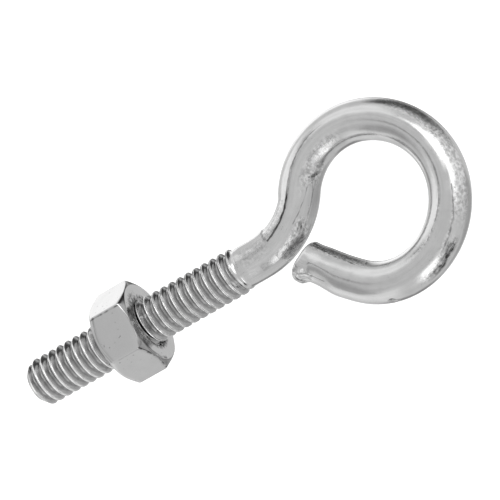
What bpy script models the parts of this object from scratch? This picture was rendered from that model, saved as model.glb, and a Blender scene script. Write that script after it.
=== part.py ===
"""Turned eye bolt with its hex nut, in metres, +Z up.

The bolt is one length of steel rod: threaded by rolling, bent aside at the neck, then wrapped into an open eye.
Its shank stands on the Z axis with the centre of its flat tip at the origin, and the eye lies in the XZ plane.
The nut is the second piece, and it travels along the thread.
"""

import math

import bmesh
import bpy
from mathutils import Matrix, Vector

MM = 0.001

# Thread, 1/4 inch by 20 turns to the inch, right-handed.
PITCH = 1.27 * MM
THREAD_TOP = 33.0 * MM  # where the last of the run-out meets the plain rod
RUN_OUT = 1.8 * MM  # length over which the thread fades into the rod
ROOT_HEIGHT = 0.155 * MM  # height of a thread root on the +X side of the shank
CREST_RADIUS = 3.11 * MM
THREAD_DEPTH = 0.70 * MM
CREST_WIDTH = 0.16 * MM
FLANK_SLOPE = math.tan(math.radians(30))
TIP_RADIUS = 2.20 * MM
TIP_SLOPE = math.tan(math.radians(45))

# Rod and its bends, each one a radius and a turn; a positive turn leans the rod towards -X.
ROD_RADIUS = 2.67 * MM
BEND_START = 35.2 * MM
NECK_BEND = (9.7 * MM, 60.9)
EYE_BENDS = [
    (9.2 * MM, -77.7),
    (11.15 * MM, -55.5),
    (10.15 * MM, -94.5),
    (9.15 * MM, -53.9),
    (35.0 * MM, -13.6),
]
BEND_STEP = 5.0  # degrees between two rings of a bend

# The free end, squeezed a little by the shears that cut it.
END_RADIUS = 2.50 * MM
END_TAPER = 2.6 * MM
END_ROUNDING = 0.8 * MM

# Nut, 7/16 inch across the flats.
NUT_WIDTH = 10.92 * MM
NUT_THICKNESS = 5.56 * MM
NUT_BASE = 12.44 * MM  # height of its face on the tip side
NUT_TURN = 7.0  # degrees from a corner on +X
NUT_FACE_RADIUS = 5.36 * MM  # of the circle where the chamfer meets a face
NUT_CHAMFER_SLOPE = math.tan(math.radians(40))
BORE_CREST_RADIUS = 2.58 * MM  # the nut thread's smallest radius
BORE_DEPTH = 0.64 * MM
BORE_GROOVE_WIDTH = 0.216 * MM
COUNTERSINK_RADIUS = 3.42 * MM
TAP_OVERRUN = 0.4 * MM

SIDES = 24  # sides of every round form, shared so that the two threads line up
NUT_CHAMFER_SIDES = 72


def clear_scene():
    for obj in list(bpy.data.objects):
        bpy.data.objects.remove(obj, do_unlink=True)


def zinc(name, colour, roughness):
    """Bright zinc plating on steel."""
    material = bpy.data.materials.new(name)
    material.use_nodes = True
    shader = material.node_tree.nodes["Principled BSDF"]
    shader.inputs["Base Color"].default_value = (*colour, 1.0)
    shader.inputs["Metallic"].default_value = 1.0
    shader.inputs["Roughness"].default_value = roughness
    return material


def add_object(name, mesh, location=(0, 0, 0)):
    obj = bpy.data.objects.new(name, mesh)
    obj.location = location
    bpy.context.scene.collection.objects.link(obj)
    return obj


def mesh_from(bm, name):
    bmesh.ops.recalc_face_normals(bm, faces=bm.faces)
    mesh = bpy.data.meshes.new(name)
    bm.to_mesh(mesh)
    bm.free()
    mesh.shade_smooth()
    mesh.set_sharp_from_angle(angle=math.radians(35))
    return mesh


def thread_corners(outer_radius, outer_width, depth):
    """Corners of the thread's form over one pitch, as heights above a root's middle with their radii."""
    inner_radius = outer_radius - depth
    inner_width = PITCH - outer_width - 2 * depth * FLANK_SLOPE
    return [
        (-inner_width / 2, inner_radius),
        (inner_width / 2, inner_radius),
        (PITCH / 2 - outer_width / 2, outer_radius),
        (PITCH / 2 + outer_width / 2, outer_radius),
    ]


def add_thread(bm, corners, bottom, top, shape_radius):
    """Skin of a right-handed thread from bottom to top.

    Its rows climb one pitch in each turn. Rows past an end are held at that end, where they close up into a
    flat ring. shape_radius(height, radius) gives the final radius, for chamfers and run-outs.
    """
    first = math.floor((bottom - ROOT_HEIGHT) / PITCH) - 1
    last = math.ceil((top - ROOT_HEIGHT) / PITCH) + 1
    rows = []
    for turn in range(first, last + 1):
        for corner_height, corner_radius in corners:
            row = []
            for side in range(SIDES):
                height = ROOT_HEIGHT + (turn + side / SIDES) * PITCH + corner_height
                height = min(max(height, bottom), top)
                radius = shape_radius(height, corner_radius)
                angle = 2 * math.pi * side / SIDES
                row.append(bm.verts.new((radius * math.cos(angle), radius * math.sin(angle), height)))
            rows.append(row)
    per_turn = len(corners)
    for lower in range(len(rows) - per_turn - 1):
        for side in range(SIDES):
            ahead, wrap = (side + 1, 0) if side + 1 < SIDES else (0, per_turn)
            near_low, near_high = rows[lower][side], rows[lower + 1][side]
            far_low, far_high = rows[lower + wrap][ahead], rows[lower + wrap + 1][ahead]
            bm.faces.new((near_low, far_low, far_high, near_high))
    bmesh.ops.remove_doubles(bm, verts=bm.verts, dist=0.0001 * MM)
    loose = [vert for vert in bm.verts if not vert.link_faces]
    bmesh.ops.delete(bm, geom=loose, context="VERTS")


def open_edges_at(bm, height):
    """The ring of open edges that lies at one height."""
    return [
        edge
        for edge in bm.edges
        if edge.is_boundary and all(abs(vert.co.z - height) < 0.001 * MM for vert in edge.verts)
    ]


def bend_stations():
    """Places along the rod past the thread, each with the rod's heading in the XZ plane."""
    place = Vector((0.0, BEND_START))
    heading = math.radians(90)
    stations = [(place, heading)]
    for radius, turn in [NECK_BEND] + EYE_BENDS:
        side = math.copysign(1, turn)
        count = math.ceil(abs(turn) / BEND_STEP)
        centre = place + side * radius * Vector((-math.sin(heading), math.cos(heading)))
        for step in range(1, count + 1):
            along = heading + math.radians(turn) * step / count
            spoke = side * radius * Vector((math.sin(along), -math.cos(along)))
            stations.append((centre + spoke, along))
        place, heading = stations[-1]
    return stations


def carry_ring(ring, place, heading, scale=1.0):
    """Moves a flat ring that was made round the shank's axis to a station of the rod."""
    move = Matrix.Translation((place.x, 0, place.y))
    turn = Matrix.Rotation(math.radians(90) - heading, 4, "Y")
    for vert, start in ring.items():
        vert.co = move @ turn @ (start * scale)


def extend_ring(bm, edges, starts):
    """Extrudes the open end of the rod by one ring, and pairs the new corners with their starting places."""
    made = bmesh.ops.extrude_edge_only(bm, edges=edges)["geom"]
    verts = [item for item in made if isinstance(item, bmesh.types.BMVert)]
    new_edges = [item for item in made if isinstance(item, bmesh.types.BMEdge)]
    ring = {}
    for vert in verts:
        for edge in vert.link_edges:
            before = edge.other_vert(vert)
            if before in starts:
                ring[vert] = starts[before]
    return new_edges, ring


def bolt_radius(height, radius):
    """The thread's radius, chamfered at the tip and faded into the rod at the run-out."""
    chamfer = TIP_RADIUS + height * TIP_SLOPE
    fade = min(max((THREAD_TOP - height) / RUN_OUT, 0), 1)
    return min(chamfer, ROD_RADIUS + (radius - ROD_RADIUS) * fade)


def eye_bolt():
    bm = bmesh.new()
    corners = thread_corners(CREST_RADIUS, CREST_WIDTH, THREAD_DEPTH)
    add_thread(bm, corners, 0, THREAD_TOP, bolt_radius)
    bmesh.ops.contextual_create(bm, geom=open_edges_at(bm, 0))

    edges = open_edges_at(bm, THREAD_TOP)
    ring = {vert: Vector((vert.co.x, vert.co.y, 0)) for edge in edges for vert in edge.verts}
    stations = bend_stations()
    end, end_heading = stations[-1]
    for place, heading in stations:
        tapered = max(1 - (end - place).length / END_TAPER, 0) if heading < 0 else 0
        radius = ROD_RADIUS + (END_RADIUS - ROD_RADIUS) * tapered
        edges, ring = extend_ring(bm, edges, ring)
        carry_ring(ring, place, heading, radius / ROD_RADIUS)

    # The free end's rim is rounded over in three steps, then closed flat.
    onward = Vector((math.cos(end_heading), math.sin(end_heading)))
    for angle in (30, 60, 90):
        swing = math.radians(angle)
        reach = END_ROUNDING * math.sin(swing)
        radius = END_RADIUS - END_ROUNDING * (1 - math.cos(swing))
        edges, ring = extend_ring(bm, edges, ring)
        carry_ring(ring, end + onward * reach, end_heading, radius / ROD_RADIUS)
    bmesh.ops.contextual_create(bm, geom=edges)
    return add_object("eye_bolt", mesh_from(bm, "eye_bolt"))


def hexagon():
    bm = bmesh.new()
    corner_radius = NUT_WIDTH / 2 / math.cos(math.radians(30))
    turn = Matrix.Rotation(math.radians(NUT_TURN), 4, "Z")
    bmesh.ops.create_cone(
        bm,
        cap_ends=True,
        segments=6,
        radius1=corner_radius,
        radius2=corner_radius,
        depth=NUT_THICKNESS,
        matrix=turn @ Matrix.Rotation(math.radians(30), 4, "Z"),
    )
    return mesh_from(bm, "hex_nut")


def chamfer_blank():
    """Turned blank whose two sloping rims cut the nut's corners back; its profile lies at +X, top to bottom."""
    rim = NUT_WIDTH * 0.65
    half = NUT_THICKNESS / 2
    drop = (rim - NUT_FACE_RADIUS) * NUT_CHAMFER_SLOPE
    outline = [(0, half), (NUT_FACE_RADIUS, half), (rim, half - drop)]
    outline += [(rim, drop - half), (NUT_FACE_RADIUS, -half), (0, -half)]
    mesh = bpy.data.meshes.new("chamfer_blank")
    points = [(radius, 0, height) for radius, height in outline]
    mesh.from_pydata(points, [(i, i + 1) for i in range(len(points) - 1)], [])
    blank = add_object("chamfer_blank", mesh)
    screw = blank.modifiers.new("turn", "SCREW")
    screw.steps = NUT_CHAMFER_SIDES
    screw.render_steps = NUT_CHAMFER_SIDES
    screw.use_merge_vertices = True
    screw.merge_threshold = 0.001 * MM
    return blank


def tap_radius(height, radius):
    """The nut thread's radius, opened out by a countersink at each face."""
    inside = min(height - NUT_BASE, NUT_BASE + NUT_THICKNESS - height)
    return max(radius, COUNTERSINK_RADIUS - inside)


def tap():
    """Solid that cuts the nut's thread and countersinks; it runs past both faces."""
    bm = bmesh.new()
    groove_radius = BORE_CREST_RADIUS + BORE_DEPTH
    corners = thread_corners(groove_radius, BORE_GROOVE_WIDTH, BORE_DEPTH)
    bottom = NUT_BASE - TAP_OVERRUN
    top = NUT_BASE + NUT_THICKNESS + TAP_OVERRUN
    add_thread(bm, corners, bottom, top, tap_radius)
    for height in (bottom, top):
        bmesh.ops.contextual_create(bm, geom=open_edges_at(bm, height))
    return add_object("tap", mesh_from(bm, "tap"))


def add_boolean(obj, operation, tool):
    boolean = obj.modifiers.new(tool.name, "BOOLEAN")
    boolean.operation = operation
    boolean.solver = "EXACT"
    boolean.object = tool
    tool.hide_render = True
    tool.display_type = "WIRE"


def hex_nut():
    middle = (0, 0, NUT_BASE + NUT_THICKNESS / 2)
    nut = add_object("hex_nut", hexagon(), middle)
    blank = chamfer_blank()
    blank.location = middle
    add_boolean(nut, "INTERSECT", blank)
    add_boolean(nut, "DIFFERENCE", tap())
    return nut


clear_scene()
eye_bolt().data.materials.append(zinc("bolt_zinc", (0.62, 0.62, 0.62), 0.28))
hex_nut().data.materials.append(zinc("nut_zinc", (0.66, 0.66, 0.66), 0.22))
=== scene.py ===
"""Turned eye bolt with its hex nut, both of steel with bright zinc plating."""

import math

import bmesh
import bpy
import numpy as np
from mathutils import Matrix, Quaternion, Vector


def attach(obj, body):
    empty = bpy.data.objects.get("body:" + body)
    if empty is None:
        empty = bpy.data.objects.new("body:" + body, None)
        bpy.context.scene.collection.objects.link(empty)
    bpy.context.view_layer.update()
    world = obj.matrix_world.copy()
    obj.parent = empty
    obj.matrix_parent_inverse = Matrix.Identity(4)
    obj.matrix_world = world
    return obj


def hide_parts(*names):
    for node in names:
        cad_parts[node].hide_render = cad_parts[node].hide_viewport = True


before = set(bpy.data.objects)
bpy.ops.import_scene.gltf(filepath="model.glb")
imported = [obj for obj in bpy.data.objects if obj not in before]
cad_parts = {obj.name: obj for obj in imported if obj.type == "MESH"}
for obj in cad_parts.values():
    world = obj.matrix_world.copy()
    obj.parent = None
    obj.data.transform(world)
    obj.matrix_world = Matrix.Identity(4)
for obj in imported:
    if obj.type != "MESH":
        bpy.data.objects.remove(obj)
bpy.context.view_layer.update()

# ---- The rolled thread of the shank ----------------------------------------------------------------------------
# A quarter-inch coarse thread, right-handed, on a mild steel rod. Flat dies squeeze it up out of the plain rod, so
# its roots are smooth and its crests are left blunt, with a fine seam along them where the metal didn't quite meet.
MM = 0.001
PITCH = 1.27 * MM
ROOT_HEIGHT = 0.155 * MM  # of a root on the +X side of the shank
ROOT_RADIUS = 2.41 * MM
CREST_RADIUS = 3.14 * MM
CREST_WIDTH = 0.17 * MM
CREST_ROUNDING = 0.09 * MM
FLANK_FALL = 1 / math.tan(math.radians(30))
BLUNT_FROM = 13 * MM  # the crests get flatter and wider from here towards the eye
BLUNT_OVER = 9 * MM
BLUNTING = 0.13 * MM
SEAM_DEPTH = 0.05 * MM
SEAM_HALF_WIDTH = 0.08 * MM
THREAD_TOP = 33.0 * MM
THREAD_TURNS = 29
RUN_OUT = 1.6 * MM
TIP_RADIUS = 2.2 * MM
ROD_RADIUS = 2.67 * MM
SIDES = 96
ROW_CROWDING = 0.6


def plug(tree, source, socket):
    """Wires a socket to another, or sets its value."""
    if isinstance(source, bpy.types.NodeSocket):
        tree.links.new(source, socket)
    else:
        socket.default_value = source


def calc(tree, operation, *terms):
    """Adds a Math node and returns its result."""
    node = tree.nodes.new("ShaderNodeMath")
    node.operation = operation
    for slot, term in enumerate(terms):
        plug(tree, term, node.inputs[slot])
    return node.outputs[0]


def add_node(tree, kind, wires, **settings):
    """Adds a node, with its settings and what goes into its sockets."""
    node = tree.nodes.new(kind)
    for setting, value in settings.items():
        setattr(node, setting, value)
    for name, source in wires.items():
        plug(tree, source, node.inputs[name])
    return node


def new_tree(name, sizes):
    """Geometry tree with a named input for each size, and the sockets that carry them."""
    tree = bpy.data.node_groups.new(name, "GeometryNodeTree")
    tree.interface.new_socket("Geometry", in_out="INPUT", socket_type="NodeSocketGeometry")
    for label, kind in sizes.items():
        tree.interface.new_socket(label, in_out="INPUT", socket_type=kind)
    tree.interface.new_socket("Geometry", in_out="OUTPUT", socket_type="NodeSocketGeometry")
    return tree, tree.nodes.new("NodeGroupInput").outputs


def end_tree(tree, grid, straight, place, material):
    """Notes where each point lies on the straight rod, moves it to its own place and gives the skin its finish."""
    noted = add_node(
        tree,
        "GeometryNodeStoreNamedAttribute",
        {"Geometry": grid, "Name": "rod_place", "Value": straight},
        data_type="FLOAT_VECTOR",
    )
    moved = add_node(tree, "GeometryNodeSetPosition", {"Geometry": noted.outputs[0], "Position": place})
    real = add_node(tree, "GeometryNodeRealizeInstances", {"Geometry": moved.outputs[0]})
    painted = add_node(tree, "GeometryNodeSetMaterial", {"Geometry": real.outputs[0], "Material": material})
    out = tree.nodes.new("NodeGroupOutput")
    tree.links.new(painted.outputs[0], out.inputs[0])


def grow(tree, values, base=None):
    """Runs a tree with the values given for its named inputs, and returns the plain mesh that it makes."""
    obj = bpy.data.objects.new(tree.name, base or bpy.data.meshes.new(tree.name))
    bpy.context.scene.collection.objects.link(obj)
    modifier = obj.modifiers.new(tree.name, "NODES")
    modifier.node_group = tree
    for item in tree.interface.items_tree:
        if item.in_out == "INPUT" and item.name in values:
            modifier[item.identifier] = values[item.name]
    graph = bpy.context.evaluated_depsgraph_get()
    mesh = bpy.data.meshes.new_from_object(
        obj.evaluated_get(graph), preserve_all_data_layers=True, depsgraph=graph
    )
    obj.modifiers.remove(modifier)
    bpy.data.objects.remove(obj)
    return mesh


def grid_tree(tree, columns, rows):
    """A grid whose two coordinates both run from 0 to 1."""
    grid = add_node(
        tree,
        "GeometryNodeMeshGrid",
        {
            "Size X": 1.0,
            "Size Y": 1.0,
            "Vertices X": calc(tree, "ADD", columns, 1),
            "Vertices Y": calc(tree, "ADD", rows, 1),
        },
    )
    place = tree.nodes.new("GeometryNodeInputPosition")
    split = add_node(tree, "ShaderNodeSeparateXYZ", {"Vector": place.outputs[0]})
    return grid.outputs[0], calc(tree, "ADD", split.outputs[0], 0.5), calc(tree, "ADD", split.outputs[1], 0.5)


def thread_tree(material):
    """Skin of a right-handed thread: each row of faces climbs one pitch in a turn."""
    whole, size = "NodeSocketInt", "NodeSocketFloat"
    sizes = {"Sides": whole, "Turns": whole, "Rows": whole, "First turn": whole}
    sizes |= {"Pitch": size, "Root height": size, "Bottom": size, "Top": size, "Start angle": size}
    sizes |= {"Root radius": size, "Crest radius": size, "Crest width": size, "Rounding": size}
    sizes |= {"Corners": size, "Corner crowding": size}
    tree, size_of = new_tree("thread_skin", sizes)
    rows = calc(tree, "MULTIPLY", size_of["Turns"], size_of["Rows"])
    grid, across, up = grid_tree(tree, size_of["Sides"], rows)

    # Rows crowd together at the crests and roots, and columns at the corners of a nut.
    climb = calc(tree, "MULTIPLY", up, size_of["Turns"])
    turn = calc(tree, "FLOOR", climb)
    part = calc(tree, "SUBTRACT", climb, turn)
    wave = calc(tree, "SINE", calc(tree, "MULTIPLY", part, 4 * math.pi))
    phase = calc(tree, "SUBTRACT", part, calc(tree, "MULTIPLY", wave, ROW_CROWDING / (4 * math.pi)))
    corner_rate = calc(tree, "MULTIPLY", size_of["Corners"], 2 * math.pi)
    corner_wave = calc(tree, "SINE", calc(tree, "MULTIPLY", across, corner_rate))
    crowding = calc(tree, "MULTIPLY", corner_wave, size_of["Corner crowding"])
    shift = calc(tree, "DIVIDE", crowding, corner_rate)
    start = calc(tree, "DIVIDE", size_of["Start angle"], 2 * math.pi)
    around = calc(tree, "ADD", calc(tree, "SUBTRACT", across, shift), start)

    level = calc(tree, "ADD", calc(tree, "ADD", turn, phase), calc(tree, "ADD", size_of["First turn"], around))
    height = calc(tree, "ADD", calc(tree, "MULTIPLY", level, size_of["Pitch"]), size_of["Root height"])
    height = calc(tree, "MINIMUM", calc(tree, "MAXIMUM", height, size_of["Bottom"]), size_of["Top"])
    off_middle = calc(tree, "ABSOLUTE", calc(tree, "SUBTRACT", phase, 0.5))
    from_crest = calc(tree, "MULTIPLY", off_middle, size_of["Pitch"])
    beyond = calc(tree, "SUBTRACT", from_crest, calc(tree, "MULTIPLY", size_of["Crest width"], 0.5))
    flank = calc(tree, "SUBTRACT", size_of["Crest radius"], calc(tree, "MULTIPLY", beyond, FLANK_FALL))
    blunt = calc(tree, "SMOOTH_MIN", flank, size_of["Crest radius"], size_of["Rounding"])
    radius = calc(tree, "SMOOTH_MAX", blunt, size_of["Root radius"], size_of["Rounding"])

    angle = calc(tree, "MULTIPLY", around, 2 * math.pi)
    x = calc(tree, "MULTIPLY", radius, calc(tree, "COSINE", angle))
    y = calc(tree, "MULTIPLY", radius, calc(tree, "SINE", angle))
    place = add_node(tree, "ShaderNodeCombineXYZ", {"X": x, "Y": y, "Z": height})
    end_tree(tree, grid, place.outputs[0], place.outputs[0], material)
    return tree


def points_of(mesh):
    flat = np.zeros(len(mesh.vertices) * 3)
    mesh.vertices.foreach_get("co", flat)
    return flat.reshape(-1, 3)


def set_points(mesh, points):
    mesh.vertices.foreach_set("co", points.ravel())
    mesh.update()


def noise(tree, place, scale, detail, roughness=0.5):
    node = tree.nodes.new("ShaderNodeTexNoise")
    tree.links.new(place, node.inputs["Vector"])
    node.inputs["Scale"].default_value = scale
    node.inputs["Detail"].default_value = detail
    node.inputs["Roughness"].default_value = roughness
    return node.outputs["Fac"]


def stretch(tree, place, scale):
    node = tree.nodes.new("ShaderNodeMapping")
    tree.links.new(place, node.inputs["Vector"])
    node.inputs["Scale"].default_value = scale
    return node.outputs["Vector"]


def ramp(tree, value, low, high, start, end):
    """Carries a value from start at low to end at high, and holds it outside them."""
    node = tree.nodes.new("ShaderNodeMapRange")
    plug(tree, value, node.inputs["Value"])
    for label, number in (("From Min", low), ("From Max", high), ("To Min", start), ("To Max", end)):
        plug(tree, number, node.inputs[label])
    return node.outputs[0]


def bump(tree, height, distance, under=None):
    node = tree.nodes.new("ShaderNodeBump")
    tree.links.new(height, node.inputs["Height"])
    node.inputs["Distance"].default_value = distance
    if under:
        tree.links.new(under, node.inputs["Normal"])
    return node.outputs[0]


def attribute(tree, name, output="Fac"):
    node = tree.nodes.new("ShaderNodeAttribute")
    node.attribute_name = name
    return node.outputs[output]


def grey(tree, value):
    node = tree.nodes.new("ShaderNodeCombineColor")
    for channel in range(3):
        tree.links.new(value, node.inputs[channel])
    return node.outputs[0]


def mark(tree, place, start, finish, width):
    """1 on a marked line, 0 off it: a line that a die or bending tool left, or painted shade or a painted highlight
    along an edge, in a fold, a dent or the nick. Its ends are (mm past the thread, degrees round).
    """
    part = tree.nodes.new("ShaderNodeSeparateXYZ")
    tree.links.new(place, part.inputs[0])
    past = calc(tree, "DIVIDE", calc(tree, "SUBTRACT", part.outputs[2], THREAD_TOP), MM)
    turn_round = calc(tree, "ARCTAN2", part.outputs[1], part.outputs[0])
    centre = ramp(tree, past, start[0], finish[0], math.radians(start[1]), math.radians(finish[1]))
    wander = ramp(tree, noise(tree, place, 1100, 2), 0.3, 0.7, math.radians(-1.6), math.radians(1.6))
    off = calc(tree, "SUBTRACT", turn_round, calc(tree, "ADD", centre, wander))
    off = calc(tree, "PINGPONG", calc(tree, "ABSOLUTE", off), math.pi)
    across = ramp(tree, calc(tree, "MULTIPLY", off, ROD_RADIUS / MM), width / 2, width / 4, 0, 1)
    fade = min(0.8, 0.3 * (finish[0] - start[0]))
    opening = ramp(tree, past, start[0] - 0.1, start[0] + 0.1, 0, 1)
    ends = calc(tree, "MULTIPLY", opening, ramp(tree, past, finish[0] + fade, finish[0] - fade, 0, 1))
    return calc(tree, "MULTIPLY", across, ends)


# Bright zinc over drawn steel: faint lines run along the rod, the plating has a fine grain, and it is rough and
# dull where the dies marked it. The thread's roots get painted shade and its crests a painted highlight, and some
# marks are painted shade or a painted highlight along edges, in folds and in the nick. A mark's place is given as
# millimetres past the thread and degrees round the rod: 0 is the inside of the eye, 180 its outside, 270 in front.
bolt_zinc = bpy.data.materials.new("bolt_zinc")
bolt_zinc.use_nodes = True
tree = bolt_zinc.node_tree
shader = tree.nodes["Principled BSDF"]
shader.inputs["Metallic"].default_value = 1.0
rod_place = attribute(tree, "rod_place", "Vector")
wear_and_painted_shade = attribute(tree, "wear_and_painted_shade")
root_shade = attribute(tree, "painted_root_shade")
crest_highlight = attribute(tree, "painted_crest_highlight")
lines = noise(tree, stretch(tree, rod_place, (1, 1, 0.03)), 4200, 3)
bands = noise(tree, stretch(tree, rod_place, (1, 1, 0.02)), 900, 1)
cloud = noise(tree, rod_place, 700, 3)
grain = noise(tree, rod_place, 5200, 2, 0.6)
speck = ramp(tree, noise(tree, rod_place, 7000, 1), 0.70, 0.76, 0, 1)
speck_zone = ramp(tree, noise(tree, rod_place, 420, 1), 0.50, 0.62, 0, 1)
shade = calc(tree, "ADD", ramp(tree, bands, 0.3, 0.7, 0.56, 0.66), ramp(tree, cloud, 0.3, 0.7, -0.03, 0.03))
shade = calc(tree, "ADD", shade, ramp(tree, lines, 0.3, 0.7, -0.022, 0.022))
# painted highlight on the thread's crests and the tip's rim, then painted shade in the thread's roots
shade = calc(tree, "ADD", shade, calc(tree, "MULTIPLY", crest_highlight, 0.25))
shade = calc(tree, "SUBTRACT", shade, calc(tree, "MULTIPLY", root_shade, 0.27))
blotches = ramp(tree, noise(tree, rod_place, 2600, 3), 0.38, 0.62, -0.20, 0.18)
shade = calc(tree, "ADD", shade, calc(tree, "MULTIPLY", wear_and_painted_shade, blotches))
pits = calc(tree, "MULTIPLY", calc(tree, "MULTIPLY", speck, speck_zone), 0.35)
shade = calc(tree, "SUBTRACT", shade, pits)
broken = ramp(tree, noise(tree, stretch(tree, rod_place, (1, 1, 0.35)), 3800, 2), 0.36, 0.56, 0, 1)
MARKS = [  # start, finish, width in mm, strength (less than zero is brighter), how broken
    ((5.2, 264), (12.0, 259), 0.38, 0.52, 0.15),  # painted shade along the edge of the bending die's flat, outside the neck
    ((11.0, 260), (21.0, 255), 0.22, 0.32, 0.6),  # painted shade along the same edge, fading towards the eye
    ((8.7, 298), (13.5, 318), 0.16, 0.25, 0.7),  # painted shade along the edges of the two flats inside the neck
    ((10.0, 329), (15.0, 340), 0.16, 0.28, 0.7),
    ((8.2, 322), (9.1, 318), 0.7, 0.35, 0.9),  # painted shade of a small dent where they start
    ((7.2, 345), (8.6, 370), 0.34, 0.4, 0.3),  # painted shade of a fold beside the free end
    ((14.6, 318), (16.2, 344), 0.9, 0.35, 1.0),  # scuff inside the start of the eye
    ((42.0, 243), (49.5, 229), 0.30, 0.30, 0.9),  # drawing lines round the eye
    ((43.0, 280), (50.0, 281), 0.14, 0.22, 0.8),
    ((61.6, 314), (69.0, 326), 0.32, 0.36, 0.6),  # inside the free end
    ((56.8, 196), (57.2, 196), 0.9, 0.8, 0.0),  # painted shade in the nick
    ((4.85, 228), (5.3, 228), 3.6, 0.35, 0.4),  # painted shade at the step where the bending die's flat begins
    ((0.9, 304), (7.0, 306), 1.7, -0.05, 0.4),  # beside the thread, in turn: a faint painted highlight, a grip mark, painted shade dimming a reflection, a grip mark
    ((1.2, 262), (4.7, 262), 1.3, 0.10, 0.6),
    ((2.6, 314), (6.4, 314), 1.3, 0.16, 0.5),
    ((0.6, 200), (4.8, 200), 0.5, -0.25, 0.0),
    ((48.2, 213), (52.0, 207), 1.6, 0.42, 0.9),  # scrape outside the eye
    ((68.1, 205), (68.8, 222), 0.5, 0.4, 0.4),  # folds in the sheared lip
    ((64.9, 236), (68.2, 232), 0.2, 0.25, 0.7),
]
for start, finish, width, strength, breaks in MARKS:
    drawn = mark(tree, rod_place, start, finish, width)
    kept = calc(tree, "ADD", calc(tree, "MULTIPLY", broken, breaks), 1 - breaks)
    drawn = calc(tree, "MULTIPLY", calc(tree, "MULTIPLY", drawn, kept), strength)
    shade = calc(tree, "SUBTRACT", shade, drawn)
shade = calc(tree, "MAXIMUM", shade, 0.05)
tree.links.new(grey(tree, shade), shader.inputs["Base Color"])
dull = calc(tree, "ADD", ramp(tree, cloud, 0.3, 0.7, 0.13, 0.20), calc(tree, "MULTIPLY", wear_and_painted_shade, 0.14))
tree.links.new(calc(tree, "ADD", dull, ramp(tree, lines, 0.3, 0.7, -0.03, 0.05)), shader.inputs["Roughness"])
rough_skin = calc(tree, "MULTIPLY", grain, calc(tree, "ADD", calc(tree, "MULTIPLY", wear_and_painted_shade, 3.0), 0.7))
relief = bump(tree, rough_skin, 0.010 * MM)
relief = bump(tree, lines, 0.004 * MM, relief)
relief = bump(tree, cloud, 0.02 * MM, relief)
tree.links.new(relief, shader.inputs["Normal"])
threads = thread_tree(bolt_zinc)
shank = grow(
    threads,
    {
        "Sides": SIDES,
        "Turns": THREAD_TURNS,
        "Rows": 20,
        "First turn": -2,
        "Pitch": PITCH,
        "Root height": ROOT_HEIGHT,
        "Bottom": 0.0,
        "Top": THREAD_TOP,
        "Start angle": 0.0,
        "Root radius": ROOT_RADIUS,
        "Crest radius": CREST_RADIUS,
        "Crest width": CREST_WIDTH,
        "Rounding": CREST_ROUNDING,
        "Corners": 6.0,
        "Corner crowding": 0.0,
    },
)

# The tip is pointed before rolling, and the thread fades out where the dies end.
points = points_of(shank)
radius = np.hypot(points[:, 0], points[:, 1])
fade = np.clip((THREAD_TOP - points[:, 2]) / RUN_OUT, 0, 1)
shaped = ROD_RADIUS + (radius - ROD_RADIUS) * fade
shaped = np.minimum(shaped, TIP_RADIUS + points[:, 2])
blunt = np.clip((points[:, 2] - BLUNT_FROM) / BLUNT_OVER, 0, 1)
shaped = np.minimum(shaped, CREST_RADIUS - BLUNTING * blunt)

# The seam follows the middle of the crests, found from the points that lie on them.
phase = points[:, 2] / PITCH - np.arctan2(points[:, 1], points[:, 0]) / (2 * math.pi)
crest_mean = np.exp(2j * math.pi * phase[radius > 0.99 * CREST_RADIUS]).mean()
off_crest = np.abs((phase - np.angle(crest_mean) / (2 * math.pi) + 0.5) % 1 - 0.5) * PITCH
seam = blunt * fade * np.clip(1 - off_crest / SEAM_HALF_WIDTH, 0, 1)
shaped -= SEAM_DEPTH * seam
points[:, :2] *= (shaped / radius)[:, None]
set_points(shank, points)

# ---- The bent rod: neck and eye --------------------------------------------------------------------------------
# The same steel rod goes on past the thread. It is bent aside at the neck, then wrapped round a peg into an open eye,
# and its free end is sheared off short of the neck.
BEND_START = 35.2 * MM
BENDS = [  # radius, and degrees turned; a positive turn leans the rod towards -X
    (9.7 * MM, 60.9),
    (9.2 * MM, -77.7),
    (11.15 * MM, -55.5),
    (10.15 * MM, -94.5),
    (9.15 * MM, -53.9),
    (35.0 * MM, -13.5),
]
STEP = 0.05 * MM
EASING = 41  # steps over which one bend runs into the next
RING_SPACING = 0.18 * MM
END_LENGTH = 0.05 * MM  # of the straight stub at the very end
END_RINGS = 8
WELD = 0.0005 * MM  # points nearer than this are one point


def centreline():
    """Points along the middle of the rod from the end of the thread, a short step apart, and the headings there."""
    headings = [math.radians(90)] * round((BEND_START - THREAD_TOP) / STEP)
    heading = math.radians(90)
    for bend_radius, turn in BENDS:
        count = round(bend_radius * abs(math.radians(turn)) / STEP)
        for part in range(count):
            headings.append(heading + math.radians(turn) * (part + 0.5) / count)
        heading += math.radians(turn)
    headings += [heading] * round(END_LENGTH / STEP)
    headings = np.array(headings)
    ease = np.hanning(EASING)
    ease /= ease.sum()
    margin = EASING // 2
    padded = np.concatenate([np.full(margin, headings[0]), headings, np.full(margin, headings[-1])])
    headings = np.convolve(padded, ease, "valid")
    steps = np.stack([np.cos(headings), np.zeros(len(headings)), np.sin(headings)], axis=1) * STEP
    path = np.vstack([[0, 0, THREAD_TOP], [0, 0, THREAD_TOP] + np.cumsum(steps, axis=0)])
    return path, np.concatenate([headings[:1], headings])


path, path_headings = centreline()
path_length = (len(path) - 1) * STEP


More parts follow.
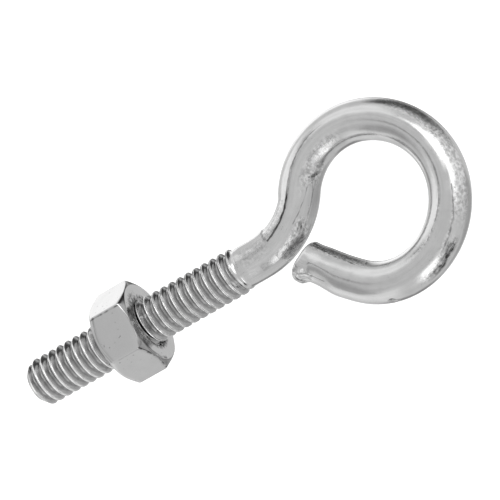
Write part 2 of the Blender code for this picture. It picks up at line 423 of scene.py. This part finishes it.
def rod_tree(material):
    """Skin of a round rod swept along a curve that lies in the XZ plane."""
    sizes = {"Sides": "NodeSocketInt", "Rings": "NodeSocketInt", "Radius": "NodeSocketFloat"}
    sizes |= {"Start height": "NodeSocketFloat", "Length": "NodeSocketFloat"}
    tree, size_of = new_tree("swept_rod", sizes)
    grid, across, along = grid_tree(tree, size_of["Sides"], size_of["Rings"])
    curve = add_node(tree, "GeometryNodeMeshToCurve", {"Mesh": size_of["Geometry"]})
    sample = add_node(tree, "GeometryNodeSampleCurve", {"Curves": curve.outputs[0], "Factor": along}, mode="FACTOR")
    sideways = (0.0, 1.0, 0.0)
    ahead = sample.outputs["Tangent"]
    inward = add_node(tree, "ShaderNodeVectorMath", {0: sideways, 1: ahead}, operation="CROSS_PRODUCT")
    angle = calc(tree, "MULTIPLY", across, 2 * math.pi)
    place = sample.outputs["Position"]
    reaches = []
    for wave, side in (("COSINE", inward.outputs[0]), ("SINE", sideways)):
        reach = calc(tree, "MULTIPLY", calc(tree, wave, angle), size_of["Radius"])
        arm = add_node(tree, "ShaderNodeVectorMath", {0: side, "Scale": reach}, operation="SCALE")
        place = add_node(tree, "ShaderNodeVectorMath", {0: place, 1: arm.outputs[0]}, operation="ADD").outputs[0]
        reaches.append(reach)
    height = calc(tree, "ADD", calc(tree, "MULTIPLY", along, size_of["Length"]), size_of["Start height"])
    straight = add_node(tree, "ShaderNodeCombineXYZ", {"X": reaches[0], "Y": reaches[1], "Z": height})
    end_tree(tree, grid, straight.outputs[0], place, material)
    return tree


line = bpy.data.meshes.new("centreline")
line.from_pydata(path.tolist(), [(i, i + 1) for i in range(len(path) - 1)], [])
rings = round(path_length / RING_SPACING)
rod = grow(
    rod_tree(bolt_zinc),
    {
        "Sides": SIDES,
        "Rings": rings,
        "Radius": ROD_RADIUS,
        "Start height": THREAD_TOP,
        "Length": path_length,
    },
    line,
)

bm = bmesh.new()
bm.from_mesh(shank)
bm.from_mesh(rod)
bmesh.ops.remove_doubles(bm, verts=bm.verts, dist=WELD)
bmesh.ops.delete(bm, geom=[v for v in bm.verts if not v.link_faces], context="VERTS")


def close_end(bm, edges, steps):
    """Draws an open end of the rod in to its middle, in rings, which are made in the same order on every run."""
    ring = dict.fromkeys(vert for edge in edges for vert in edge.verts)
    middle = sum((vert.co for vert in ring), Vector()) / len(ring)
    for step in range(steps):
        share = (1 - (step + 1) / steps) / (1 - step / steps)
        inner = {vert: bm.verts.new(middle + (vert.co - middle) * share, vert) for vert in ring}
        for edge in edges:
            loop = edge.link_loops[0]
            first, second = loop.link_loop_next.vert, loop.vert  # the other way along the edge, to face the same way
            bm.faces.new((first, second, inner[second], inner[first]), loop.face)
        edges = [bm.edges.get([inner[vert] for vert in edge.verts]) for edge in edges]
        ring = inner.values()


for at_tip in (True, False):
    open_edges = [e for e in bm.edges if e.is_boundary and (e.verts[0].co.z < 1 * MM) == at_tip]
    close_end(bm, open_edges, END_RINGS)
bmesh.ops.remove_doubles(bm, verts=bm.verts, dist=WELD)
bmesh.ops.recalc_face_normals(bm, faces=bm.faces)
bolt_mesh = bpy.data.meshes.new("bolt")
bm.to_mesh(bolt_mesh)
bm.free()


def smooth(value, start, end):
    """0 before start, 1 after end, and an eased slope between."""
    t = np.clip((value - start) / (end - start), 0, 1)
    return t * t * (3 - 2 * t)


def gap(angle, centre):
    """Degrees between an angle round the rod and a centre."""
    return np.abs((angle - centre + 180) % 360 - 180)


place = np.zeros(len(bolt_mesh.vertices) * 3)
bolt_mesh.attributes["rod_place"].data.foreach_get("vector", place)
place = place.reshape(-1, 3)
along = (place[:, 2] - THREAD_TOP) / MM  # millimetres past the thread; less than zero on the thread
around = np.degrees(np.arctan2(place[:, 1], place[:, 0])) % 360  # degrees round the rod
length = path_length / MM
end = length - along  # millimetres short of the free end
on_path = np.arange(len(path)) * STEP / MM
middle = np.stack([np.interp(along, on_path, path[:, axis]) for axis in range(3)], axis=1)
middle[along < 0, 2] = place[along < 0, 2]
turned = np.interp(along, on_path, path_headings)
swing = np.radians(around)
outward = np.stack([np.sin(turned) * np.cos(swing), np.sin(swing), -np.cos(turned) * np.cos(swing)], axis=1)
points = points_of(bolt_mesh)
rod_radius = ROD_RADIUS / MM
cap_share = np.linalg.norm(points - middle, axis=1) / MM / rod_radius  # less than 1 on the closed ends


def press_flat(reach, centre, depth, start, finish, ease_in, ease_out):
    """A die's flat: the rod is pressed in to a plane that faces one way round it, over part of its length."""
    off = np.radians(gap(around, centre))
    limit = (rod_radius - depth) / np.maximum(np.cos(off), 0.3)
    amount = smooth(along, start, start + ease_in) * (1 - smooth(along, finish - ease_out, finish))
    return reach + (np.minimum(reach, limit) - reach) * amount


FLATS = [  # degrees round, depth in mm, start and finish in mm past the thread, mm to ease in and to ease out
    (232, 0.10, 0.5, 5.2, 0.3, 0.3),  # grips beside the thread, from when it was rolled and bent
    (280, 0.06, 0.7, 5.6, 0.5, 2.0),
    (338, 0.06, 0.4, 7.0, 0.4, 2.5),
    (212, 0.26, 5.2, 12.5, 0.25, 2.5),  # the bending die, outside the neck
    (318, 0.10, 8.6, 14.6, 0.5, 2.0),  # two narrow ones inside it
    (350, 0.12, 8.8, 16.0, 0.5, 2.5),
]
rod_reach = np.full(len(points), rod_radius)
for flat in FLATS:
    rod_reach = press_flat(rod_reach, *flat)

# The shears round the free end's rim, pinch its outer side and leave a lip there. These are in millimetres.
RIM_ROUNDING, RIM_EXTRA, TAPER, PINCH, LIP = 0.4, 0.2, 0.17, 0.36, 0.34
rim = RIM_ROUNDING + RIM_EXTRA * smooth(180 - gap(around, 322), 90, 165)
outer_side = smooth(70 - gap(around, 208), 0, 45)
taper = TAPER * smooth(3.4 - end, 0, 2.6) * (1 - outer_side)
pinch = PINCH * outer_side * smooth(end, 1.0, 2.2) * (1 - smooth(end, 2.8, 6.0))
lip = LIP * outer_side * (1 - smooth(end, 0.9, 1.7))
curl = np.clip((rim - end) / rim, 0, 1)
rod_reach = rod_reach - taper - pinch + lip - rim * (1 - np.sqrt(1 - curl * curl))

# A nick on the outside of the eye: its place, half its length, half its width in degrees and its depth.
NICK_ALONG, NICK_AROUND, NICK_HALF_LENGTH, NICK_HALF_WIDTH, NICK_DEPTH = 57.0, 186, 0.38, 22, 0.42
nick = np.hypot((along - NICK_ALONG) / NICK_HALF_LENGTH, gap(around, NICK_AROUND) / NICK_HALF_WIDTH)
rod_reach = rod_reach - NICK_DEPTH * np.sqrt(np.clip(1 - nick**2, 0, 1))

# Only the rod past the thread is moved.
rod_part = along > 0.001
points[rod_part] = (middle + outward * (rod_reach * np.minimum(cap_share, 1))[:, None] * MM)[rod_part]
set_points(bolt_mesh, points)


def paint(mesh, name, values):
    """Gives a mesh a point attribute that its material reads."""
    data = mesh.attributes.new(name, "FLOAT", "POINT").data
    data.foreach_set("value", np.clip(values, 0, 1).astype(np.float32))


def patch(centre, width, start, finish, ease):
    """A marked patch: 1 inside a span of angles and of lengths, 0 well outside it."""
    across = smooth(width / 2 - gap(around, centre), -6, 6)
    return across * smooth(along, start - ease, start) * (1 - smooth(along, finish, finish + ease))


ROUGH_PATCHES = [  # degrees round, width in degrees, start and finish in mm past the thread, mm to ease, strength
    (262, 56, 0.9, 4.6, 0.4, 0.3),  # beside the thread
    (312, 12, 1.0, 8.0, 0.4, 0.3),
    (228, 50, 5.3, 11.0, 0.4, 0.5),  # on the neck: the bending die's flat, and its inside
    (318, 24, 5.0, 9.5, 0.4, 1.0),
    (305, 30, 14.5, 21.0, 3.0, 0.7),
    (325, 50, 14.0, 17.0, 1.0, 0.8),
    (345, 60, 5.0, 9.0, 0.4, 0.8),
    (215, 40, 31.0, 44.0, 3.0, 0.85),  # round the eye
    (236, 8, 42.5, 49.0, 1.0, 0.8),
    (280, 6, 42.5, 50.0, 1.0, 0.8),
    (212, 26, 48.0, 52.5, 1.0, 0.8),
    (208, 70, length - 2.5, length + 1, 0.4, 0.9),  # the sheared lip, and inside the free end
    (325, 24, length - 9, length - 1, 0.4, 0.9),
]
rough = [patch(*place) * strength for *place, strength in ROUGH_PATCHES]

# The blunt crests towards the eye are rough too. Roots get painted shade, and crests and the tip's rim a painted
# highlight.
height_on_thread = (np.hypot(points[:, 0], points[:, 1]) - ROOT_RADIUS) / (CREST_RADIUS - ROOT_RADIUS)
on_thread = along < -1.2  # clear of most of the run-out
towards_eye = smooth(points[:, 2] / MM, 13, 20)
rough.append(0.6 * on_thread * towards_eye * smooth(height_on_thread, 0.70, 0.84))
paint(bolt_mesh, "wear_and_painted_shade", np.max(rough, axis=0))
# painted highlight on the tip's rim
tip_rim_highlight = 1 - smooth(points[:, 2] / MM, 0.5, 0.8)
paint(bolt_mesh, "painted_root_shade", on_thread * (1 - smooth(height_on_thread, 0.0, 0.5)))
paint(bolt_mesh, "painted_crest_highlight", np.maximum(on_thread * smooth(height_on_thread, 0.74, 0.90), 0.5 * tip_rim_highlight))
bolt_mesh.shade_smooth()
bolt_mesh.set_sharp_from_angle(angle=math.radians(50))
bolt = bpy.data.objects.new("bolt_bright", bolt_mesh)
bpy.context.scene.collection.objects.link(bolt)
bolt_mesh.materials.clear()
bolt_mesh.materials.append(bolt_zinc)
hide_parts("eye_bolt")
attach(bolt, "bolt")

# ---- The hex nut -----------------------------------------------------------------------------------------------
# A 7/16 inch hexagon nut of mild steel with bright zinc plating. It is cold-headed, chamfered on both faces and
# tapped through to fit the thread.
NUT_WIDTH = 10.92 * MM
NUT_THICKNESS = 5.56 * MM
NUT_BASE = 12.44 * MM
NUT_TURN = math.radians(7)
NUT_FACE_RADIUS = 5.36 * MM
NUT_CHAMFER_FALL = math.tan(math.radians(31))
NUT_CORNER_ROUNDING = 0.16 * MM
NUT_EDGE_ROUNDING = 0.40 * MM
NUT_FACE_ROUNDING = 0.05 * MM
COUNTERSINK_RADIUS = 3.42 * MM
TAP_CREST_RADIUS = 2.58 * MM
TAP_ROOT_RADIUS = 3.22 * MM
TAP_ROOT_WIDTH = 0.216 * MM
TAP_ROUNDING = 0.06 * MM
NUT_COLUMNS = 144
CORNER_CROWDING = 0.85
NUT_TOP = NUT_BASE + NUT_THICKNESS
NUT_MIDDLE = NUT_BASE + NUT_THICKNESS / 2

# Smooth bright zinc, with a few pits. Painted shade darkens the chamfer and lines along some of the edges, and the
# face is scuffed round the hole, rougher and darker there, with a ring of painted shade at the hole.
nut_zinc = bpy.data.materials.new("nut_zinc")
nut_zinc.use_nodes = True
tree = nut_zinc.node_tree
shader = tree.nodes["Principled BSDF"]
shader.inputs["Metallic"].default_value = 1.0
nut_place = tree.nodes.new("ShaderNodeTexCoord").outputs["Object"]
cloud = noise(tree, nut_place, 500, 3)
grain = noise(tree, nut_place, 4000, 2)
pit = ramp(tree, noise(tree, nut_place, 3300, 0), 0.80, 0.84, 0, 0.30)
shade = calc(tree, "SUBTRACT", ramp(tree, cloud, 0.3, 0.7, 0.56, 0.60), pit)
scuff_and_shade = attribute(tree, "wear_and_painted_shade")
# darker where the face is scuffed, and painted shade in a ring round the hole
blotch = ramp(tree, noise(tree, nut_place, 2200, 3), 0.42, 0.62, -0.50, -0.02)
shade = calc(tree, "ADD", shade, calc(tree, "MULTIPLY", scuff_and_shade, blotch))
part = tree.nodes.new("ShaderNodeSeparateXYZ")
tree.links.new(nut_place, part.inputs[0])
squares = [calc(tree, "MULTIPLY", part.outputs[axis], part.outputs[axis]) for axis in (0, 1)]
out = calc(tree, "DIVIDE", calc(tree, "SQRT", calc(tree, "ADD", squares[0], squares[1])), MM)
past_face = calc(tree, "SUBTRACT", out, NUT_FACE_RADIUS / MM)
cone = calc(tree, "SUBTRACT", NUT_TOP / MM, calc(tree, "MULTIPLY", past_face, NUT_CHAMFER_FALL))
above_cone = calc(tree, "SUBTRACT", calc(tree, "DIVIDE", part.outputs[2], MM), cone)
near_cone = ramp(tree, above_cone, -0.14, -0.04, 0, 1)
on_chamfer = calc(tree, "MULTIPLY", near_cone, ramp(tree, past_face, 0.02, 0.08, 0, 1))
# painted shade on the chamfer
chamfer_shade = calc(tree, "MULTIPLY", on_chamfer, ramp(tree, cloud, 0.35, 0.65, 0.28, 0.14))
# painted shade along the edge between the face and the chamfer
face_edge_shade = ramp(tree, calc(tree, "ABSOLUTE", past_face), 0.09, 0.03, 0, 0.28)
face_edge_shade = calc(tree, "MULTIPLY", face_edge_shade, ramp(tree, above_cone, -0.3, -0.1, 0, 1))
broken = ramp(tree, noise(tree, nut_place, 1500, 2), 0.40, 0.52, 0.2, 1)
# painted shade in lines along the edges
painted_edge_shade = calc(tree, "MULTIPLY", calc(tree, "MULTIPLY", attribute(tree, "painted_edge_shade"), broken), 0.5)
for dark in (chamfer_shade, face_edge_shade, painted_edge_shade):
    shade = calc(tree, "SUBTRACT", shade, dark)
shade = calc(tree, "MAXIMUM", shade, 0.04)
tree.links.new(grey(tree, shade), shader.inputs["Base Color"])
dull = calc(tree, "ADD", ramp(tree, cloud, 0.3, 0.7, 0.09, 0.14), calc(tree, "MULTIPLY", scuff_and_shade, 0.2))
tree.links.new(dull, shader.inputs["Roughness"])
skin = calc(tree, "MULTIPLY", grain, calc(tree, "ADD", calc(tree, "MULTIPLY", scuff_and_shade, 4.0), 0.25))
tree.links.new(bump(tree, skin, 0.008 * MM), shader.inputs["Normal"])
bore = grow(
    threads,
    {
        "Sides": NUT_COLUMNS,
        "Turns": 8,
        "Rows": 14,
        "First turn": 8,
        "Pitch": PITCH,
        "Root height": ROOT_HEIGHT,
        "Bottom": NUT_BASE,
        "Top": NUT_TOP,
        "Start angle": NUT_TURN,
        "Root radius": TAP_CREST_RADIUS,
        "Crest radius": TAP_ROOT_RADIUS,
        "Crest width": TAP_ROOT_WIDTH,
        "Rounding": TAP_ROUNDING,
        "Corners": 6.0,
        "Corner crowding": CORNER_CROWDING,
    },
)
points = points_of(bore)
radius = np.hypot(points[:, 0], points[:, 1])
inside = np.minimum(points[:, 2] - NUT_BASE, NUT_TOP - points[:, 2])
points[:, :2] *= (np.maximum(radius, COUNTERSINK_RADIUS - inside) / radius)[:, None]
set_points(bore, points)


def hexagon_radius(angle):
    """Distance from the axis to the hexagon's side, with its corners a little rounded."""
    apothem = NUT_WIDTH / 2
    half_side = math.radians(30)
    from_corner = (angle - NUT_TURN + half_side) % (2 * half_side) - half_side
    flat = apothem / math.cos(half_side - abs(from_corner))
    centre = (apothem - NUT_CORNER_ROUNDING) / math.cos(half_side)
    spread = NUT_CORNER_ROUNDING**2 - (centre * math.sin(from_corner)) ** 2
    if spread <= 0:
        return flat
    return min(flat, centre * math.cos(from_corner) + math.sqrt(spread))


def rounded(before, corner, after, size, steps=4):
    """Points that round a corner of a profile, over less than half of either side."""
    before, corner, after = Vector(before), Vector(corner), Vector(after)
    size_in = min(size, (before - corner).length * 0.45)
    size_out = min(size, (after - corner).length * 0.45)
    start = corner + (before - corner).normalized() * size_in
    end = corner + (after - corner).normalized() * size_out
    made = []
    for step in range(steps + 1):
        t = step / steps
        made.append(start * (1 - t) ** 2 + corner * 2 * t * (1 - t) + end * t**2)
    return made


def nut_profile(outer):
    """Half profile from the countersink's rim, over the face and chamfer, to the middle of a side."""
    half = NUT_THICKNESS / 2
    rim = (COUNTERSINK_RADIUS, half)
    face = (NUT_FACE_RADIUS, half)
    edge = (outer, half - (outer - NUT_FACE_RADIUS) * NUT_CHAMFER_FALL)
    side = (outer, 0.0)
    profile = [Vector(rim).lerp(Vector(face), t) for t in (0, 0.04, 0.12, 0.3, 0.5, 0.7, 0.9)]
    bend = rounded(rim, face, edge, NUT_FACE_ROUNDING)
    last = rounded(face, edge, side, NUT_EDGE_ROUNDING)
    profile += bend + [bend[-1].lerp(last[0], t) for t in (0.33, 0.66)] + last
    profile += [last[-1].lerp(Vector(side), t) for t in (0.15, 0.4, 0.7)]
    return profile


def nut_skin(bm):
    """The nut's outside, in columns round the axis that share their angles with the bore's."""
    columns = []
    corner_rate = 6 * 2 * math.pi
    for column in range(NUT_COLUMNS):
        across = column / NUT_COLUMNS
        around = across - math.sin(corner_rate * across) * CORNER_CROWDING / corner_rate
        angle = NUT_TURN + 2 * math.pi * around
        outer = hexagon_radius(angle)
        upper = nut_profile(outer)
        full = upper + [Vector((outer, 0))] + [Vector((p.x, -p.y)) for p in reversed(upper)]
        places = [(p.x * math.cos(angle), p.x * math.sin(angle), NUT_MIDDLE + p.y) for p in full]
        columns.append([bm.verts.new(place) for place in places])
    for column, ring in enumerate(columns):
        ahead = columns[(column + 1) % NUT_COLUMNS]
        for row in range(len(ring) - 1):
            bm.faces.new((ring[row], ahead[row], ahead[row + 1], ring[row + 1]))


bm = bmesh.new()
bm.from_mesh(bore)
nut_skin(bm)
bmesh.ops.remove_doubles(bm, verts=bm.verts, dist=WELD)
bmesh.ops.delete(bm, geom=[v for v in bm.verts if not v.link_faces], context="VERTS")
bmesh.ops.recalc_face_normals(bm, faces=bm.faces)
nut_mesh = bpy.data.meshes.new("nut")
bm.to_mesh(nut_mesh)
bm.free()
nut_mesh.shade_smooth()
nut_mesh.set_sharp_from_angle(angle=math.radians(50))
nut = bpy.data.objects.new("nut_bright", nut_mesh)
bpy.context.scene.collection.objects.link(nut)
nut_mesh.materials.clear()
nut_mesh.materials.append(nut_zinc)

# The face towards the eye is scuffed round its hole and towards the front, and is rougher and darker there, with a
# ring of painted shade right round the hole.
points = points_of(nut_mesh)
distance = np.hypot(points[:, 0], points[:, 1]) / MM
turn_of = np.degrees(np.arctan2(points[:, 1], points[:, 0])) % 360
on_face = points[:, 2] > NUT_TOP - 0.02 * MM
# painted shade in a ring round the hole
hole_ring_shade = 1 - smooth(distance, 3.6, 4.0)
front_mark = (1 - smooth(distance, 4.0, 4.9)) * smooth(75 - gap(turn_of, 262), 0, 30)
paint(nut_mesh, "wear_and_painted_shade", on_face * np.maximum(hole_ring_shade, front_mark))

# Painted shade: a dark line runs beside the front corner, and another under the chamfer of the side next to it.
turn_past = (turn_of - math.degrees(NUT_TURN)) % 60  # degrees past the last corner
past_corner = np.radians(turn_past) * NUT_WIDTH / 2 / MM / math.cos(math.radians(30))
level = np.abs(points[:, 2] - NUT_MIDDLE) / MM
on_side = 1 - smooth(level, 2.1, 2.3)
front_side = smooth(32 - gap(turn_of, 277), 0, 1)
along_edge = on_side * front_side * smooth(past_corner, 0.08, 0.16) * (1 - smooth(past_corner, 0.2, 0.34))
down = (NUT_TOP - points[:, 2]) / MM - (distance - NUT_FACE_RADIUS / MM) * NUT_CHAMFER_FALL
next_side = smooth(31 - gap(turn_of, 337), 0, 1)
under_chamfer = smooth(down, 0.04, 0.10) * (1 - smooth(down, 0.16, 0.26)) * next_side
paint(nut_mesh, "painted_edge_shade", np.maximum(along_edge, under_chamfer))
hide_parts("hex_nut")
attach(nut, "nut")

# ---- Floor, light and camera -----------------------------------------------------------------------------------
# The bolt is held clear of a plain white floor, which it doesn't mirror. Soft-edged light panels and dark flags stand
# all round it, and those are what its bright plating mirrors.
FLOOR_HALF = 3000 * MM
FLOOR_LEVEL = -60 * MM
floor_corners = [(x * FLOOR_HALF, y * FLOOR_HALF, FLOOR_LEVEL) for x, y in ((-1, -1), (1, -1), (1, 1), (-1, 1))]
floor_mesh = bpy.data.meshes.new("floor")
floor_mesh.from_pydata(floor_corners, [], [(0, 1, 2, 3)])
floor = bpy.data.objects.new("floor", floor_mesh)
bpy.context.scene.collection.objects.link(floor)
paper = bpy.data.materials.new("paper")
paper.use_nodes = True
shader = paper.node_tree.nodes["Principled BSDF"]
shader.inputs["Base Color"].default_value = (0.95, 0.95, 0.95, 1)
shader.inputs["Emission Color"].default_value = (1, 1, 1, 1)
shader.inputs["Emission Strength"].default_value = 0.4
shader.inputs["Roughness"].default_value = 0.9
floor_mesh.materials.append(paper)
floor.visible_glossy = False

world = bpy.data.worlds.new("studio")
world.use_nodes = True
studio = world.node_tree
view_direction = studio.nodes.new("ShaderNodeTexCoord").outputs["Generated"]


def direction(azimuth, elevation):
    """Unit vector at an azimuth and elevation in degrees."""
    azimuth, elevation = math.radians(azimuth), math.radians(elevation)
    level = math.cos(elevation)
    return Vector((level * math.cos(azimuth), level * math.sin(azimuth), math.sin(elevation)))


def dot(vector):
    """How far the direction that is looked along lies along a vector."""
    node = studio.nodes.new("ShaderNodeVectorMath")
    node.operation = "DOT_PRODUCT"
    studio.links.new(view_direction, node.inputs[0])
    node.inputs[1].default_value = vector
    return node.outputs["Value"]


def panel(azimuth, elevation, width, height, softness):
    """How much of a soft-edged panel, seen from the bolt, lies in each direction. Angles are in degrees."""
    aim = direction(azimuth, elevation)
    turn = aim.to_track_quat("Z", "Y")
    ahead = calc(studio, "MAXIMUM", dot(aim), 0.001)
    cover = 1.0
    for axis, size in (((1, 0, 0), width), ((0, 1, 0), height)):
        off = calc(studio, "ABSOLUTE", calc(studio, "DIVIDE", dot(turn @ Vector(axis)), ahead))
        edge = studio.nodes.new("ShaderNodeMapRange")
        edge.interpolation_type = "SMOOTHERSTEP"
        studio.links.new(off, edge.inputs["Value"])
        half = math.tan(math.radians(size / 2))
        edge.inputs["From Min"].default_value = half * (1 + softness)
        edge.inputs["From Max"].default_value = half * max(1 - softness, 0)
        cover = calc(studio, "MULTIPLY", edge.outputs[0], cover)
    return cover


PANELS = {  # azimuth, elevation, width and height in degrees, softness of the edge, brightness
    "ceiling": (170, 78, 50, 50, 0.5, 0.95),
    "window wall": (-146, -9, 38, 38, 0.4, 1.15),
    "table side": (4, -54, 66, 48, 0.5, 1.02),
    "table front": (-62, -56, 44, 26, 0.5, 0.52),
    "table glare": (106, -66, 16, 12, 0.5, 1.35),
    "back wall": (72, 28, 38, 60, 0.4, 0.50),
    "overhead box": (-118, 27, 19, 34, 0.35, 2.8),
    "overhead box end": (-96, 44, 28, 20, 0.5, 2.3),
    "side box": (-18, 3, 42, 18, 0.5, 2.0),
    "rear box": (143, -20, 30, 34, 0.5, 1.42),
    "side flag": (9, 22, 22, 20, 0.4, 0.06),
    "left flag": (157, 27, 52, 46, 0.35, 0.06),
    "rear flag": (119, -4, 14, 24, 0.5, 0.2),
    "far flag": (66, -20, 24, 24, 0.5, 0.30),
    "low flag": (-122, -31, 50, 5, 0.5, 0.12),
    "table edge": (-152, -48, 44, 28, 0.6, 1.35),
}
ROOM = 0.76  # brightness between the panels
BACKDROP = 1.2  # brightness seen past the bolt
glow = ROOM
for *shape, brightness in PANELS.values():
    cover = panel(*shape)
    change = calc(studio, "SUBTRACT", brightness, glow)
    glow = calc(studio, "ADD", glow, calc(studio, "MULTIPLY", cover, change))
camera_ray = studio.nodes.new("ShaderNodeLightPath").outputs["Is Camera Ray"]
lift = calc(studio, "MULTIPLY", camera_ray, calc(studio, "SUBTRACT", BACKDROP, glow))
shown = calc(studio, "ADD", glow, lift)
studio.nodes["Background"].inputs["Color"].default_value = (1, 1, 1, 1)
studio.links.new(shown, studio.nodes["Background"].inputs["Strength"])
bpy.context.scene.world = world
bpy.context.scene.view_settings.view_transform = "Standard"

CAMERA_PLACE = (0.11796, -0.39667, 0.19169)
CAMERA_AIM = (-0.26987, 0.89516, -0.35478)
CAMERA_ROLL = math.radians(60.22)
CAMERA_LENS = 254.37
camera_data = bpy.data.cameras.new("camera")
camera_data.lens = CAMERA_LENS
camera_data.clip_start = 0.01
camera = bpy.data.objects.new("camera", camera_data)
bpy.context.scene.collection.objects.link(camera)
camera.location = CAMERA_PLACE
camera.rotation_mode = "QUATERNION"
camera.rotation_quaternion = Vector(CAMERA_AIM).to_track_quat("-Z", "Y") @ Quaternion((0, 0, 1), CAMERA_ROLL)
bpy.context.scene.camera = camera
